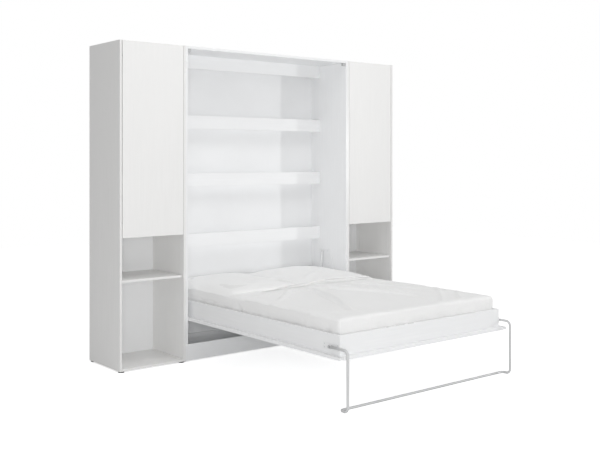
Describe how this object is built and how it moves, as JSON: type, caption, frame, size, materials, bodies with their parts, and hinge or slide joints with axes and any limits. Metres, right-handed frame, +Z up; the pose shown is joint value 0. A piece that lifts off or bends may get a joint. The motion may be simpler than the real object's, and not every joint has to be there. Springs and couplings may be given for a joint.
{
  "type": "vertical wall bed with towers",
  "caption": "Fold-down double wall bed in a white cabinet, with a folding tube leg, gas struts and a storage tower with door and open niches on each side.",
  "frame": {"origin": "on the floor, in the middle of the footprint with the bed folded down", "axes": "+X along the wall to the right as seen from the foot of the bed, +Y from the foot of the bed to the wall, +Z up"},
  "size_m": [2.496, 2.067, 2.176],
  "materials": {
    "cabinet_board": "white melamine-faced chipboard, satin",
    "tower_board": "white melamine-faced chipboard with a faint grain, satin",
    "back_board": "white lacquered hardboard",
    "slat_wood": "birch plywood, sanded",
    "leg_paint": "powder coat, fine texture",
    "plate_paint": "powder coat, light grey",
    "strut_paint": "light grey lacquer",
    "bright_steel": "ground and hard-chromed",
    "zinc_steel": "zinc plated",
    "black_plastic": "moulded",
    "grey_plastic": "moulded",
    "white_plastic": "moulded",
    "mattress_cloth": "quilted ticking",
    "pillow_cloth": "cotton percale",
    "cover_cloth": "cotton percale, crumpled"
  },
  "bodies": {
    "cabinet": {"cabinet_left_side": "cabinet_board", "cabinet_right_side": "cabinet_board", "cabinet_top": "cabinet_board", "cabinet_back": "back_board", "back_rails": "cabinet_board", "plinth": "cabinet_board", "rear_rail": "cabinet_board", "closing_stops": "grey_plastic", "wall_brackets": "zinc_steel", "left_mechanism_plate": "plate_paint", "right_mechanism_plate": "plate_paint", "pivot_pins": "bright_steel", "cabinet_glides": "black_plastic", "tower_glides": "black_plastic", "left_tower_outer_side": "tower_board", "left_tower_inner_side": "tower_board", "left_tower_top": "tower_board", "left_tower_bottom": "tower_board", "left_tower_divider": "tower_board", "left_tower_back": "back_board", "left_niche_shelf": "tower_board", "left_closet_shelves": "tower_board", "right_tower_outer_side": "tower_board", "right_tower_inner_side": "tower_board", "right_tower_top": "tower_board", "right_tower_bottom": "tower_board", "right_tower_divider": "tower_board", "right_tower_back": "back_board", "right_niche_shelf": "tower_board", "right_closet_shelves": "tower_board", "hinge_arms": "zinc_steel", "latch_housings": "white_plastic", "shelf_pins": "zinc_steel"},
    "bed": {"left_bed_rail": "cabinet_board", "right_bed_rail": "cabinet_board", "head_rail": "cabinet_board", "foot_board": "cabinet_board", "face_panel": "cabinet_board", "centre_beam": "slat_wood", "slat_cleats": "slat_wood", "slats": "slat_wood", "left_bed_plate": "plate_paint", "right_bed_plate": "plate_paint", "leg_brackets": "plate_paint", "leg_bolts": "bright_steel", "mattress": "mattress_cloth", "left_pillow": "pillow_cloth", "right_pillow": "pillow_cloth", "bed_cover": "cover_cloth"},
    "leg": {"leg_frame": "leg_paint"},
    "left_door": {"left_door": "tower_board", "left_hinge_cups": "zinc_steel"},
    "right_door": {"right_door": "tower_board", "right_hinge_cups": "zinc_steel"},
    "left_latch": {"left_latch_plunger": "white_plastic"},
    "right_latch": {"right_latch_plunger": "white_plastic"},
    "left_cylinder": {"left_strut_cylinder": "strut_paint"},
    "left_rod": {"left_strut_rod": "bright_steel"},
    "right_cylinder": {"right_strut_cylinder": "strut_paint"},
    "right_rod": {"right_strut_rod": "bright_steel"}
  },
  "joints": [
    {"name": "bed_fold", "type": "hinge", "parent": "cabinet", "child": "bed", "pos_m": [0, 0.7275, 0.424], "axis": [-1, 0, 0], "range_deg": [0, 90]},
    {"name": "leg_fold", "type": "hinge", "parent": "bed", "child": "leg", "pos_m": [0, -0.8755, 0.344], "axis": [1, 0, 0], "range_deg": [0, 90]},
    {"name": "left_door_hinge", "type": "hinge", "parent": "cabinet", "child": "left_door", "pos_m": [-1.225, 0.5925, 1.527], "axis": [0, 0, -1], "range_deg": [0, 95]},
    {"name": "right_door_hinge", "type": "hinge", "parent": "cabinet", "child": "right_door", "pos_m": [1.225, 0.5925, 1.527], "axis": [0, 0, 1], "range_deg": [0, 95]},
    {"name": "left_latch_push", "type": "slide", "parent": "cabinet", "child": "left_latch", "axis": [0, -1, 0], "range_m": [0, 0.018]},
    {"name": "left_strut_swing", "type": "hinge", "parent": "cabinet", "child": "left_cylinder", "pos_m": [-0.7125, 0.8625, 0.65], "axis": [-1, 0, 0], "range_deg": [0, 26]},
    {"name": "left_strut_slide", "type": "slide", "parent": "left_cylinder", "child": "left_rod", "axis": [0, 0.0609, -0.9981], "range_m": [0, 0.161]},
    {"name": "right_latch_push", "type": "slide", "parent": "cabinet", "child": "right_latch", "axis": [0, -1, 0], "range_m": [0, 0.018]},
    {"name": "right_strut_swing", "type": "hinge", "parent": "cabinet", "child": "right_cylinder", "pos_m": [0.7125, 0.8625, 0.65], "axis": [-1, 0, 0], "range_deg": [0, 26]},
    {"name": "right_strut_slide", "type": "slide", "parent": "right_cylinder", "child": "right_rod", "axis": [0, 0.0609, -0.9981], "range_m": [0, 0.161]}
  ],
  "couplings": [
    {"joint": "leg_fold", "follows": "bed_fold", "ratio": 1},
    {"joint": "left_latch_push", "follows": "left_door_hinge", "m_per_rad": 0.01085},
    {"joint": "left_strut_swing", "follows": "bed_fold", "ratio": 0.28769},
    {"joint": "left_strut_slide", "follows": "bed_fold", "m_per_rad": 0.10201},
    {"joint": "right_latch_push", "follows": "right_door_hinge", "m_per_rad": 0.01085},
    {"joint": "right_strut_swing", "follows": "bed_fold", "ratio": 0.28769},
    {"joint": "right_strut_slide", "follows": "bed_fold", "m_per_rad": 0.10201}
  ]
}
